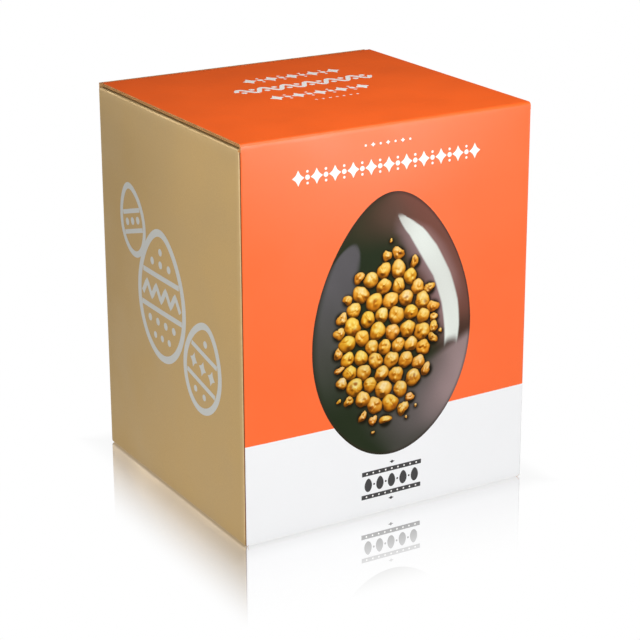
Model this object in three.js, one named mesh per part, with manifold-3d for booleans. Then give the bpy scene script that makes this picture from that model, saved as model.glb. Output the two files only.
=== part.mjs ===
// A shut folding carton of printed micro-flute board, standing on its base.
// Millimetres, +Z up. The origin is the centre of the base, the wide printed
// front looks along -Y, and the two narrower side panels look along -X and +X.
//
// The carton is shut and can't be seen into, so it is one solid. Its outside
// is that of the folded board:
//   - four wall panels, bowed out a little, with rounded upright folds
//   - a lid that is one sheet with the front panel and turns over a soft fold
//   - the raw side edges of the lid, set in from the side panels
//   - the side panels' dust flaps, which turn in under the lid and leave a
//     thin wedge-shaped slit below its raw edges
//   - the lid's tuck fold at the back, dropping behind the raw top edge of
//     the back panel
//   - a base of four flaps folded in from the walls, with seams between them

import * as THREE from "three";
import { mergeVertices } from "three/addons/utils/BufferGeometryUtils.js";
import Module from "manifold-3d";

// ---- driving dimensions ---------------------------------------------------

const WIDTH = 220;           // along X, over the upright folds
const DEPTH = 206;           // along Y, over the upright folds
const HEIGHT = 270;          // base to lid
const BOARD = 2.0;           // thickness of the fluted board

const BOW_FRONT = 3.0;       // front and back panels stand out at mid height
const BOW_SIDE = 2.0;        // side panels stand out at mid height

const UPRIGHT_R = 1.6;       // outer radius of the four upright folds
const LID_FOLD_R = 2.4;      // outer radius of the fold from front to lid
const FLAP_FOLD_R = 2.4;     // outer radius of the side panels' dust flap folds
const TUCK_FOLD_R = 2.6;     // outer radius of the lid's tuck fold at the back
const BASE_FOLD_R = 2.0;     // outer radius of the four folds round the base

const LID_INSET = 0.7;       // raw side edges of the lid, in from the side fold
const FLAP_GAP = 0.4;        // dust flap below the underside of the lid
const SLIT_DEPTH = 4.6;      // how far the slit runs in under the lid
const FLAP_RELIEF = 1.4;     // dust flap's front end, back from the front board
const TUCK_GAP = 0.6;        // slit between the tuck fold and the back panel
const TUCK_DEPTH = 9;        // depth of that slit
const BACK_DROP = 0.7;       // back panel's raw top edge, below the lid

const SEAM = 0.9;            // width of the seams between the base flaps
const SEAM_DEPTH = 1.3;
const SEAM_START = 7;        // seams start this far in from each corner
const HOOK = 9;              // step of the centre seam, where the flaps hook

const EDGE_STEPS = 12;       // spans along one panel
const CORNER_STEPS = 3;      // spans round one upright fold
const WALL_STEPS = 14;       // spans up one wall, between the folds
const FOLD_STEPS = 4;        // spans round a fold

const top = HEIGHT;
const lidUnder = HEIGHT - BOARD;
const flapTop = lidUnder - FLAP_GAP;

// ---- the folded outside, as one loft of level rings -----------------------

// How far a rounded fold of radius r has drawn in, t past its tangent point.
function foldInset(r, t) {
  const k = THREE.MathUtils.clamp(t, 0, r);
  return r - Math.sqrt(Math.max(r * r - k * k, 0));
}

// A panel held along its four folds bows out most in the middle.
function bow(amount, along, z) {
  const up = Math.cos((Math.PI / 2) * THREE.MathUtils.clamp((2 * z) / HEIGHT - 1, -1, 1));
  return amount * Math.cos((Math.PI / 2) * along) * up;
}

// One level outline, anticlockwise seen from above.
function ring(z) {
  const base = foldInset(BASE_FOLD_R, BASE_FOLD_R - z);
  const front = foldInset(LID_FOLD_R, z - (top - LID_FOLD_R));
  const x = WIDTH / 2 - base;
  const yFront = DEPTH / 2 - base - front;
  const yBack = DEPTH / 2 - base;
  const r = UPRIGHT_R - base * 0.6;

  const corners = [
    { c: [-x + r, -yFront + r], from: Math.PI },
    { c: [x - r, -yFront + r], from: 1.5 * Math.PI },
    { c: [x - r, yBack - r], from: 0 },
    { c: [-x + r, yBack - r], from: 0.5 * Math.PI },
  ];
  const outward = [[0, -1], [1, 0], [0, 1], [-1, 0]];
  const amounts = [BOW_FRONT, BOW_SIDE, BOW_FRONT, BOW_SIDE];

  const points = [];
  for (let side = 0; side < 4; side += 1) {
    const corner = corners[side];
    const next = corners[(side + 1) % 4];
    for (let i = 0; i <= CORNER_STEPS; i += 1) {
      const a = corner.from + (Math.PI / 2) * (i / CORNER_STEPS);
      points.push([corner.c[0] + r * Math.cos(a), corner.c[1] + r * Math.sin(a), z]);
    }
    const [nx, ny] = outward[side];
    const start = [corner.c[0] + r * nx, corner.c[1] + r * ny];
    const end = [next.c[0] + r * nx, next.c[1] + r * ny];
    for (let i = 1; i < EDGE_STEPS; i += 1) {
      const t = i / EDGE_STEPS;
      const out = bow(amounts[side], 2 * t - 1, z);
      points.push([
        THREE.MathUtils.lerp(start[0], end[0], t) + out * nx,
        THREE.MathUtils.lerp(start[1], end[1], t) + out * ny,
        z,
      ]);
    }
  }
  return points;
}

function levels() {
  const list = [];
  for (let i = 0; i < FOLD_STEPS; i += 1) {
    list.push(BASE_FOLD_R * (1 - Math.cos((Math.PI / 2) * (i / FOLD_STEPS))));
  }
  const low = BASE_FOLD_R;
  const high = top - LID_FOLD_R;
  for (let i = 0; i < WALL_STEPS; i += 1) {
    list.push(THREE.MathUtils.lerp(low, high, i / WALL_STEPS));
  }
  for (let i = 0; i <= FOLD_STEPS; i += 1) {
    list.push(high + LID_FOLD_R * Math.sin((Math.PI / 2) * (i / FOLD_STEPS)));
  }
  return list;
}

// Rings joined into a closed skin, with a level cap at each end. Each cap has
// an inner ring, so that its middle is made of large facets.
function loft(rings) {
  const n = rings[0].length;
  const position = [];
  const index = [];
  for (const points of rings) for (const p of points) position.push(...p);

  for (let j = 0; j + 1 < rings.length; j += 1) {
    for (let i = 0; i < n; i += 1) {
      const a = j * n + i;
      const b = j * n + ((i + 1) % n);
      index.push(a, b, b + n, a, b + n, a + n);
    }
  }
  const cap = (first, points, up) => {
    const centre = position.length / 3;
    position.push(0, 0, points[0][2]);
    for (let i = 0; i < n; i += 1) {
      const a = first + i;
      const b = first + ((i + 1) % n);
      if (up) index.push(a, b, centre);
      else index.push(b, a, centre);
    }
  };
  cap(0, rings[0], false);
  cap((rings.length - 1) * n, rings[rings.length - 1], true);

  const geometry = new THREE.BufferGeometry();
  geometry.setAttribute("position", new THREE.Float32BufferAttribute(position, 3));
  geometry.setIndex(index);
  return geometry;
}

// ---- cutters: outlines drawn across the board and run along an edge -------

function outline(points) {
  const shape = new THREE.Shape();
  points.forEach(([u, v], i) => (i ? shape.lineTo(u, v) : shape.moveTo(u, v)));
  shape.closePath();
  return shape;
}

function arc(cu, cv, r, from, to, steps) {
  const points = [];
  for (let i = 0; i <= steps; i += 1) {
    const a = from + (to - from) * (i / steps);
    points.push([cu + r * Math.cos(a), cv + r * Math.sin(a)]);
  }
  return points;
}

function prism(points, length) {
  return new THREE.ExtrudeGeometry(outline(points), {
    depth: length, bevelEnabled: false, steps: 1,
  });
}

// Outline in (X, Z), run along Y from y0 to y1.
function alongY(points, y0, y1) {
  const g = prism(points, y1 - y0);
  g.rotateX(Math.PI / 2);
  g.translate(0, y1, 0);
  return g;
}

// Outline in (Y, Z), run along X from x0 to x1.
function alongX(points, x0, x1) {
  const g = prism(points, x1 - x0);
  g.applyMatrix4(new THREE.Matrix4().set(
    0, 0, 1, x0,
    1, 0, 0, 0,
    0, 1, 0, 0,
    0, 0, 0, 1,
  ));
  return g;
}

// Everything outside the raw side edge of the lid, over the whole depth.
function lidEdgeCut(sign) {
  const x = WIDTH / 2 - LID_INSET;
  const points = [[x, flapTop], [x + 6, flapTop], [x + 6, top + 2], [x, top + 2]];
  const g = alongY(points.map(([u, v]) => [sign * u, v]), -DEPTH / 2 - 6, DEPTH / 2 + 6);
  return g;
}

// The slit under that edge: it follows the dust flap's fold, then runs in.
function slitCut(sign) {
  const x = WIDTH / 2;
  const fold = arc(x - FLAP_FOLD_R, flapTop - FLAP_FOLD_R, FLAP_FOLD_R, 0, Math.PI / 2, FOLD_STEPS);
  const points = [
    [x + 6, flapTop - FLAP_FOLD_R],
    ...fold,
    [x - SLIT_DEPTH, flapTop],
    [x - SLIT_DEPTH, lidUnder],
    [x + 6, lidUnder],
  ];
  const y0 = -DEPTH / 2 + BOARD + FLAP_RELIEF;
  const y1 = DEPTH / 2 - BOARD;
  return alongY(points.map(([u, v]) => [sign * u, v]), y0, y1);
}

// The tuck fold, the slit behind it and the back panel's raw top edge.
function tuckCut() {
  const inner = DEPTH / 2 - BOARD;
  const y = inner - TUCK_GAP;
  const fold = arc(y - TUCK_FOLD_R, top - TUCK_FOLD_R, TUCK_FOLD_R, Math.PI / 2, 0, FOLD_STEPS);
  const points = [
    ...fold,
    [y, top - TUCK_DEPTH],
    [inner, top - TUCK_DEPTH],
    [inner, top - BACK_DROP],
    [inner + 8, top - BACK_DROP],
    [inner + 8, top + 2],
    [y - TUCK_FOLD_R, top + 2],
  ];
  return alongX(points, -WIDTH / 2 - 6, WIDTH / 2 + 6);
}

// Seams of the base: one from each corner at 45 degrees, and a stepped seam
// across the middle, where the front and back flaps hook into each other.
function seamCuts() {
  const x = WIDTH / 2;
  const y = DEPTH / 2;
  const inner = x - y;
  const runs = [];
  for (const sx of [-1, 1]) {
    for (const sy of [-1, 1]) {
      runs.push([
        [sx * (x - SEAM_START), sy * (y - SEAM_START)],
        [sx * (inner + HOOK * 2), sy * HOOK * 2],
      ]);
    }
    runs.push([[sx * (inner + HOOK * 2), -HOOK * 2], [sx * (inner + HOOK * 2), HOOK * 2]]);
  }
  runs.push([[-(inner + HOOK * 2), HOOK], [0, HOOK]]);
  runs.push([[0, HOOK], [0, -HOOK]]);
  runs.push([[0, -HOOK], [inner + HOOK * 2, -HOOK]]);

  return runs.map(([a, b]) => {
    const length = Math.hypot(b[0] - a[0], b[1] - a[1]) + SEAM;
    const g = new THREE.BoxGeometry(length, SEAM, SEAM_DEPTH * 2);
    g.rotateZ(Math.atan2(b[1] - a[1], b[0] - a[0]));
    g.translate((a[0] + b[0]) / 2, (a[1] + b[1]) / 2, 0);
    return g;
  });
}

// ---- closed solids --------------------------------------------------------

const wasm = await Module();
wasm.setup();

function solid(geometry) {
  let g = geometry.clone();
  g.deleteAttribute("normal");
  g.deleteAttribute("uv");
  g = mergeVertices(g, 1e-4);
  let tri = Uint32Array.from(g.index.array);
  const p = g.attributes.position;
  // A mirrored outline comes out inside-out: its volume is then negative.
  let volume = 0;
  const a = new THREE.Vector3();
  const b = new THREE.Vector3();
  const c = new THREE.Vector3();
  for (let i = 0; i < tri.length; i += 3) {
    a.fromBufferAttribute(p, tri[i]);
    b.fromBufferAttribute(p, tri[i + 1]);
    c.fromBufferAttribute(p, tri[i + 2]);
    volume += a.dot(b.cross(c));
  }
  if (volume < 0) {
    tri = tri.slice();
    for (let i = 0; i < tri.length; i += 3) [tri[i], tri[i + 1]] = [tri[i + 1], tri[i]];
  }
  return new wasm.Manifold(new wasm.Mesh({
    numProp: 3,
    vertProperties: Float32Array.from(p.array),
    triVerts: tri,
  }));
}

function geometryOf(manifold) {
  const mesh = manifold.getMesh();
  const g = new THREE.BufferGeometry();
  g.setAttribute("position", new THREE.BufferAttribute(Float32Array.from(mesh.vertProperties), 3));
  g.setIndex(Array.from(mesh.triVerts));
  g.computeVertexNormals();
  return g;
}

let body = solid(loft(levels().map(ring)));
for (const sign of [-1, 1]) {
  body = body.subtract(solid(lidEdgeCut(sign)));
  body = body.subtract(solid(slitCut(sign)));
}
body = body.subtract(solid(tuckCut()));
for (const cut of seamCuts()) body = body.subtract(solid(cut));

// ---- the part -------------------------------------------------------------

const carton = new THREE.Mesh(
  geometryOf(body),
  new THREE.MeshStandardMaterial({ color: 0xfe764b, roughness: 0.45, metalness: 0.0 }),
);
carton.name = "carton";

const part = new THREE.Group();
part.add(carton);

export default part;
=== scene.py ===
"""Looks of a shut printed gift carton: folded micro-flute board, built as sheets.

Lengths in this script are millimetres until mesh() writes them in metres. The
row frame is used throughout: +Z up, the printed front looks along -Y, and the
two metallic side panels look along -X and +X.
"""

import math

import bpy
import numpy as np
from mathutils import Matrix, Vector


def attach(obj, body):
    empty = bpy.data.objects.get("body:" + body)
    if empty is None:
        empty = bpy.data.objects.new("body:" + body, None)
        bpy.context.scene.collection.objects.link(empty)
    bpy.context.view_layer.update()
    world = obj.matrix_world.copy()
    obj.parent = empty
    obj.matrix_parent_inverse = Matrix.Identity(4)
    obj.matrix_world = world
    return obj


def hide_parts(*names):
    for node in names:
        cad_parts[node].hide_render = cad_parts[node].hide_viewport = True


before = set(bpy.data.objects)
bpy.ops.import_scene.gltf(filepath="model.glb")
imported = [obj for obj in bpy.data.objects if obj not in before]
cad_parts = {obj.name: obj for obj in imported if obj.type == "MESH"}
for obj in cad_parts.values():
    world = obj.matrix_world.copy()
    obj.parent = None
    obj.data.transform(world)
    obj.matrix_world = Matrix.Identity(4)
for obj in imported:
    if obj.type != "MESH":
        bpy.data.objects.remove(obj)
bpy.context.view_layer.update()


# ---------------------------------------------------------------- sizes (mm)
WIDTH, DEPTH, HEIGHT = 220.0, 206.0, 270.0
BOARD = 2.0
LINER = 0.3                       # paper skins of the fluted board
FLUTE = 3.3                       # pitch of the fluting
BOW_FRONT, BOW_SIDE = 2.8, 1.8    # panels stand out at mid height
SAG_LID = 0.45                    # the lid's middle hangs a little
UPRIGHT_R, LID_R, FLAP_R, TUCK_R, BASE_R = 1.6, 2.4, 2.4, 2.6, 2.0
TOP = HEIGHT - 0.08
LID_HALF = WIDTH / 2 - 0.7        # raw side edges of the lid
WALL_HALF = WIDTH / 2 - UPRIGHT_R
CREASE_TOP = TOP - BOARD - 0.6 - FLAP_R   # upright folds end, dust flaps start
TUCK_Y = DEPTH / 2 - BOARD - 0.6
BACK_TOP = TOP - 0.7
WHITE_Z = 70.2                    # the white band's upper line
SEAM = 0.9
HOOK = 9.0

X, Y = WIDTH / 2, DEPTH / 2


# ------------------------------------------------------------------- colour
def lin(r, g, b):
    def one(c):
        c = c / 255.0
        return c / 12.92 if c <= 0.04045 else ((c + 0.055) / 1.055) ** 2.4
    return np.array([one(r), one(g), one(b)])


def rgba(c, a=1.0):
    return (float(c[0]), float(c[1]), float(c[2]), a)


def smooth(a, b, x):
    t = np.clip((np.asarray(x, float) - a) / (b - a), 0.0, 1.0)
    return t * t * (3 - 2 * t)


def mix(a, b, f):
    f = np.asarray(f, float)[..., None]
    return np.asarray(a) * (1 - f) + np.asarray(b) * f


# ------------------------------------------------------------ surface shapes
def bow_front(x, z):
    u = np.clip(np.asarray(x, float) / WALL_HALF, -1, 1)
    v = np.clip(2 * np.asarray(z, float) / HEIGHT - 1, -1, 1)
    return BOW_FRONT * np.cos(math.pi / 2 * u) * np.cos(math.pi / 2 * v)


def bow_side(y, z):
    u = np.clip(np.asarray(y, float) / (Y - UPRIGHT_R), -1, 1)
    v = np.clip(2 * np.asarray(z, float) / HEIGHT - 1, -1, 1)
    return BOW_SIDE * np.cos(math.pi / 2 * u) * np.cos(math.pi / 2 * v)


def sag_lid(x, y):
    u = np.clip(np.asarray(x, float) / LID_HALF, -1, 1)
    v = np.clip(np.asarray(y, float) / TUCK_Y, -1, 1)
    return SAG_LID * np.cos(math.pi / 2 * u) ** 2 * np.cos(math.pi / 2 * v) ** 2


def crease_dip(across, edge):
    """The shallow valley that the creasing rule leaves beside an upright fold."""
    return 0.05 * np.exp(-((np.abs(across) - (edge - 0.95)) / 0.55) ** 2)


# ------------------------------------------------------------------- meshes
def mesh(name, verts, faces, mats, face_mat=None, uv=None, floats=None, paint=None,
         sharp=35.0):
    me = bpy.data.meshes.new(name)
    me.from_pydata((np.asarray(verts, float) * 0.001).tolist(), [], [list(map(int, f)) for f in faces])
    for m in mats:
        me.materials.append(m)
    if face_mat is not None:
        me.polygons.foreach_set("material_index", np.asarray(face_mat, np.int32))
    me.polygons.foreach_set("use_smooth", np.ones(len(me.polygons), bool))
    if uv is not None:
        layer = me.uv_layers.new(name="board")
        loop_v = np.empty(len(me.loops), np.int32)
        me.loops.foreach_get("vertex_index", loop_v)
        layer.data.foreach_set("uv", (np.asarray(uv, float) * 0.001)[loop_v].astype(np.float32).ravel())
    for key, values in (floats or {}).items():
        at = me.attributes.new(key, "FLOAT", "POINT")
        at.data.foreach_set("value", np.asarray(values, np.float32))
    if paint is not None:
        at = me.color_attributes.new(name="paint", type="FLOAT_COLOR", domain="POINT")
        full = np.ones((len(paint), 4), np.float32)
        full[:, :3] = paint
        at.data.foreach_set("color", full.ravel())
    me.validate()
    me.update()
    me.set_sharp_from_angle(angle=math.radians(sharp))
    ob = bpy.data.objects.new(name, me)
    bpy.context.scene.collection.objects.link(ob)
    return ob


class Bag:
    """Vertices and faces of one piece, gathered from several closed parts."""

    def __init__(self):
        self.v, self.f, self.m, self.uv, self.wear, self.paint = [], [], [], [], [], []
        self.n = 0

    def add(self, verts, faces, mat=0, uv=None, wear=None, paint=None):
        verts = np.asarray(verts, float)
        k = len(verts)
        self.v.append(verts)
        self.f += [[i + self.n for i in f] for f in faces]
        self.m += list(mat) if hasattr(mat, "__len__") else [mat] * len(faces)
        self.uv.append(np.zeros((k, 2)) if uv is None else np.asarray(uv, float))
        self.wear.append(np.zeros(k) if wear is None else np.asarray(wear, float))
        self.paint.append(np.ones((k, 3)) if paint is None else np.asarray(paint, float))
        self.n += k

    def object(self, name, mats, painted=False, sharp=35.0):
        return mesh(name, np.concatenate(self.v), self.f, mats, self.m,
                    np.concatenate(self.uv), {"wear": np.concatenate(self.wear)},
                    np.concatenate(self.paint) if painted else None, sharp)


def sheet(P, N, inner, mask, uv, mats_of, wear=None, outer=0.0):
    """A closed sheet of board from a grid. P holds its outside, N points into
    the board, outer and inner are depths of its two skins, mask says which
    cells are board. mats_of gives (outside, inside, raw edge) of a cell."""
    nu, nv = P.shape[:2]
    outer = np.broadcast_to(np.asarray(outer, float), (nu, nv))
    inner = np.broadcast_to(np.asarray(inner, float), (nu, nv))
    A = P + N * outer[..., None]
    B = P + N * inner[..., None]
    du = P[1:, :-1] - P[:-1, :-1]
    dv = P[:-1, 1:] - P[:-1, :-1]
    facing = float(np.sum(np.cross(du, dv) * N[:-1, :-1] * mask[..., None]))
    flip = facing > 0          # the outside looks against N
    index = -np.ones((nu, nv), int)
    used = np.zeros((nu, nv), bool)
    for i, j in ((0, 0), (1, 0), (0, 1), (1, 1)):
        used[i:nu - 1 + i, j:nv - 1 + j] |= mask
    index[used] = np.arange(used.sum())
    k = int(used.sum())
    verts = np.concatenate([A[used], B[used]])
    uvs = np.concatenate([uv[used], uv[used]])
    w = np.zeros((nu, nv)) if wear is None else wear
    wears = np.concatenate([w[used], w[used]])
    faces, mat = [], []
    for i in range(nu - 1):
        for j in range(nv - 1):
            if not mask[i, j]:
                continue
            loop = [(i, j), (i + 1, j), (i + 1, j + 1), (i, j + 1)]
            beside = [(i, j - 1), (i + 1, j), (i, j + 1), (i - 1, j)]
            if flip:
                loop = [loop[0], loop[3], loop[2], loop[1]]
                beside = [beside[3], beside[2], beside[1], beside[0]]
            a = [int(index[p]) for p in loop]
            m_out, m_in, m_edge = mats_of(i, j)
            faces.append(a)
            mat.append(m_out)
            faces.append([a[3] + k, a[2] + k, a[1] + k, a[0] + k])
            mat.append(m_in)
            for e in range(4):
                bi, bj = beside[e]
                if 0 <= bi < nu - 1 and 0 <= bj < nv - 1 and mask[bi, bj]:
                    continue
                p, q = a[e], a[(e + 1) % 4]
                faces.append([q, p, p + k, q + k])
                mat.append(m_edge)
    return verts, faces, mat, uvs, wears


# Sections of a folded path in a plane: points, inward normals, running length.
def line(p0, p1, inward, ts):
    p0, p1 = np.array(p0, float), np.array(p1, float)
    return [(p0 + (p1 - p0) * t, np.array(inward, float)) for t in ts]


def arc(c, r, a0, a1, n, first=True):
    out = []
    for i in range(0 if first else 1, n + 1):
        a = a0 + (a1 - a0) * i / n
        d = np.array([math.cos(a), math.sin(a)])
        out.append((np.array(c, float) + r * d, -d))
    return out


def steps(lo, hi, pitch):
    n = max(1, int(round(abs(hi - lo) / pitch)))
    return list(np.linspace(lo, hi, n + 1))


def run_length(points):
    p = np.array([q[0] for q in points])
    return np.concatenate([[0], np.cumsum(np.linalg.norm(np.diff(p, axis=0), axis=1))])


def base_rows(sign):
    """The base flap in (y, z), from its hooked end out to the fold; sign is
    the side (-1 front, +1 back) that the panel stands on."""
    ys = [HOOK - SEAM / 2, 0.0, -HOOK - SEAM / 2, -2 * HOOK - SEAM / 2, -30, -45, -60, -75, -88, -(Y - BASE_R)]
    return [(np.array([-sign * y, 0.0]), np.array([0.0, 1.0])) for y in ys]


def base_half_width(y):
    """Half the width of a front or back base flap, |y| out from the middle."""
    a = abs(y)
    if a < 2 * HOOK + SEAM / 2:
        return X - Y + 2 * HOOK - SEAM / 2
    return min(WALL_HALF - 0.8, a + (X - Y) - SEAM * 0.7)


COLS = np.array([-LID_HALF, -WALL_HALF, -WALL_HALF + 0.35, -WALL_HALF + 0.8, -WALL_HALF + 1.25,
                 -WALL_HALF + 1.8, -WALL_HALF + 2.6]
                + list(np.linspace(-WALL_HALF + 6.0, WALL_HALF - 6.0, 49))
                + [WALL_HALF - 2.6, WALL_HALF - 1.8, WALL_HALF - 1.25, WALL_HALF - 0.8,
                   WALL_HALF - 0.35, WALL_HALF, LID_HALF])


def wall_zs():
    return (steps(BASE_R, WHITE_Z, 4.3) + steps(WHITE_Z, CREASE_TOP, 4.3)[1:])


def wide_panel(sign, upper):
    """Grid of the front (sign -1) or back (+1) panel with its base flap, and
    upper, what follows above the crease top as a list of (point, normal)."""
    rows = base_rows(sign)
    kinds = ["base"] * len(rows)
    c = (sign * (Y - BASE_R), BASE_R)
    fold = arc(c, BASE_R, -math.pi / 2, -math.pi if sign < 0 else 0.0, 6, first=False)
    rows += fold
    kinds += ["basefold"] * len(fold)
    wall = [(np.array([sign * Y, z]), np.array([-sign, 0.0])) for z in wall_zs()[1:]]
    rows += wall
    kinds += ["wall"] * len(wall)
    rows += upper
    kinds += ["upper"] * len(upper)
    s = run_length(rows)
    nu, nv = len(COLS), len(rows)
    P = np.zeros((nu, nv, 3))
    N = np.zeros((nu, nv, 3))
    UV = np.zeros((nu, nv, 2))
    t = np.clip(COLS / WALL_HALF, -1, 1)
    for j, ((yy, zz), n) in enumerate(rows):
        if kinds[j] == "base":
            half = base_half_width(yy)
            x = t * half
            hooked = (-sign * yy) > -HOOK - SEAM
            if hooked:                       # the hook stops short of the middle
                x = x - SEAM / 2 * (1 if sign < 0 else -1)
            x = np.where(np.abs(COLS) > WALL_HALF, x * 1.0001, x)
            y = np.full(nu, yy)
        elif kinds[j] == "basefold":
            inset = BASE_R - abs(abs(yy) - (Y - BASE_R))
            x = t * (WALL_HALF - 0.4 * max(BASE_R - zz, 0) * 0.9)
            y = np.full(nu, yy)
        elif kinds[j] == "wall" or (abs(abs(yy) - Y) < 1e-6):
            x = COLS.copy()
            y = yy + sign * (bow_front(x, zz) - (crease_dip(x, WALL_HALF) if zz < CREASE_TOP + 0.1 else 0))
        else:
            x = COLS.copy()
            y = np.full(nu, yy)
        z = np.full(nu, zz)
        if kinds[j] == "upper" and abs(zz - TOP) < 1e-6:
            z = z - sag_lid(x, yy)
        P[:, j] = np.stack([x, y, z], 1)
        N[:, j] = [0.0, n[0], n[1]]
        UV[:, j] = np.stack([x, np.full(nu, s[j])], 1)
    return P, N, UV, rows, kinds, s


def wide_mask(P, kinds, rows, sign, left=None, right=None):
    """Cells of board: the hooked end, the narrow wall and the wide lid."""
    nu, nv = P.shape[:2]
    m = np.ones((nu - 1, nv - 1), bool)
    mid = (COLS[1:] + COLS[:-1]) / 2
    narrow = np.abs(mid) < WALL_HALF
    for j in range(nv - 1):
        a, b = kinds[j], kinds[j + 1]
        if a == "base" and b == "base":
            y = (-sign * (rows[j][0][0] + rows[j + 1][0][0])) / 2
            ok = narrow.copy()
            if y > -HOOK - SEAM / 2 - 0.01:
                ok &= (mid < 0) if sign < 0 else (mid > 0)
            m[:, j] = ok
        elif rows[j + 1][0][1] <= CREASE_TOP + 1e-6 and b != "upper":
            m[:, j] = narrow
    return m


def wear_of(P, s, rows, kinds):
    """0 to 1, how near a fold or a raw edge: where print is rubbed or cracked."""
    nu, nv = P.shape[:2]
    w = np.zeros((nu, nv))
    for j, ((yy, zz), n) in enumerate(rows):
        turned = min(abs(n[0]), abs(n[1])) > 0.05
        w[:, j] = (0.02 if yy < 0 and zz > HEIGHT / 2 else 0.3) if turned else 0.0
    x = np.abs(P[..., 0])
    edge = np.exp(-((WALL_HALF - x) / 0.5) ** 2) * 0.05
    return np.clip(np.maximum(w, edge), 0, 1)


# ---------------------------------------------------------------- materials
def nodes_of(name):
    m = bpy.data.materials.new(name)
    m.use_nodes = True
    nt = m.node_tree
    bsdf = nt.nodes["Principled BSDF"]
    return m, nt, bsdf


def node(nt, kind, **values):
    n = nt.nodes.new(kind)
    for k, v in values.items():
        if hasattr(n, k):
            setattr(n, k, v)
        else:
            n.inputs[k].default_value = v
    return n


def ramp(nt, a, b, lo=0.0, hi=1.0):
    r = nt.nodes.new("ShaderNodeMapRange")
    r.inputs["From Min"].default_value = lo
    r.inputs["From Max"].default_value = hi
    r.inputs["To Min"].default_value = a
    r.inputs["To Max"].default_value = b
    return r


def blend_nodes(nt, kind="MIX"):
    n = nt.nodes.new("ShaderNodeMix")
    n.data_type = "RGBA"
    n.blend_type = kind
    return n


def A(n):
    return n.inputs[6]


def B(n):
    return n.inputs[7]


def noise(nt, vector, scale, detail=2.0, rough=0.5):
    n = nt.nodes.new("ShaderNodeTexNoise")
    n.inputs["Scale"].default_value = scale
    n.inputs["Detail"].default_value = detail
    n.inputs["Roughness"].default_value = rough
    nt.links.new(vector, n.inputs["Vector"])
    return n


def flute_height(nt, uv_socket, amount):
    """The fluting telegraphs through the liner as a very faint washboard."""
    sep = nt.nodes.new("ShaderNodeSeparateXYZ")
    nt.links.new(uv_socket, sep.inputs[0])
    scale = nt.nodes.new("ShaderNodeMath")
    scale.operation = "MULTIPLY"
    scale.inputs[1].default_value = 2 * math.pi / (FLUTE * 0.001)
    nt.links.new(sep.outputs["Y"], scale.inputs[0])
    sine = nt.nodes.new("ShaderNodeMath")
    sine.operation = "SINE"
    nt.links.new(scale.outputs[0], sine.inputs[0])
    out = nt.nodes.new("ShaderNodeMath")
    out.operation = "MULTIPLY"
    out.inputs[1].default_value = amount
    nt.links.new(sine.outputs[0], out.inputs[0])
    return out.outputs[0]


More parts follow.
